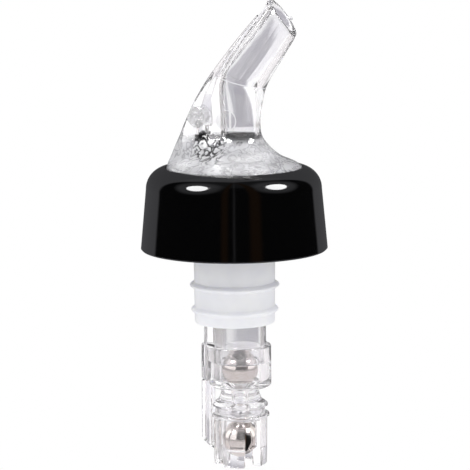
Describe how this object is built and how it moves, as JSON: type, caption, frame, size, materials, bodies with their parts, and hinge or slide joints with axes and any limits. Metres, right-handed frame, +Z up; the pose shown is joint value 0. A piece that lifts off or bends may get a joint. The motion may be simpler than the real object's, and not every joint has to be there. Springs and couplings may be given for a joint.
{
  "type": "liquor pour spout",
  "caption": "Measured liquor pour spout: clear slanted snout, black collar over the bottle's lip, ribbed stopper sleeve and a clear ball-valve body that times each pour.",
  "frame": {"origin": "on the stopper's axis at the bottle-mouth plane, which is the underside of the stopper sleeve's flange", "axes": "+Z up along the stopper's axis with the bottle standing, +X the way the snout leans and pours, +Y to the left of the pour"},
  "size_m": [0.0444, 0.0444, 0.1121],
  "materials": {
    "clear_spout": "polished clear styrene",
    "black_collar": "gloss black",
    "milky_sleeve": "milky translucent polyethylene",
    "clear_stem": "polished clear styrene",
    "clear_chamber": "polished clear styrene",
    "clear_air_tube": "polished clear styrene",
    "clear_cage": "polished clear styrene",
    "timing_ball_steel": "mirror-polished stainless steel",
    "check_ball_steel": "mirror-polished stainless steel"
  },
  "bodies": {
    "pourer": {"pour_spout": "clear_spout", "collar": "black_collar", "stopper_sleeve": "milky_sleeve", "valve_stem": "clear_stem", "timing_chamber": "clear_chamber", "air_tube": "clear_air_tube", "ball_cage": "clear_cage"},
    "timing_ball": {"timing_ball": "timing_ball_steel"},
    "check_ball": {"check_ball": "check_ball_steel"}
  },
  "joints": [
    {"name": "timing_ball_travel", "type": "slide", "parent": "pourer", "child": "timing_ball", "axis": [0, 0, 1], "range_m": [0, 0.025]},
    {"name": "check_ball_travel", "type": "slide", "parent": "pourer", "child": "check_ball", "axis": [0, 0, 1], "range_m": [0, 0.0022]}
  ]
}
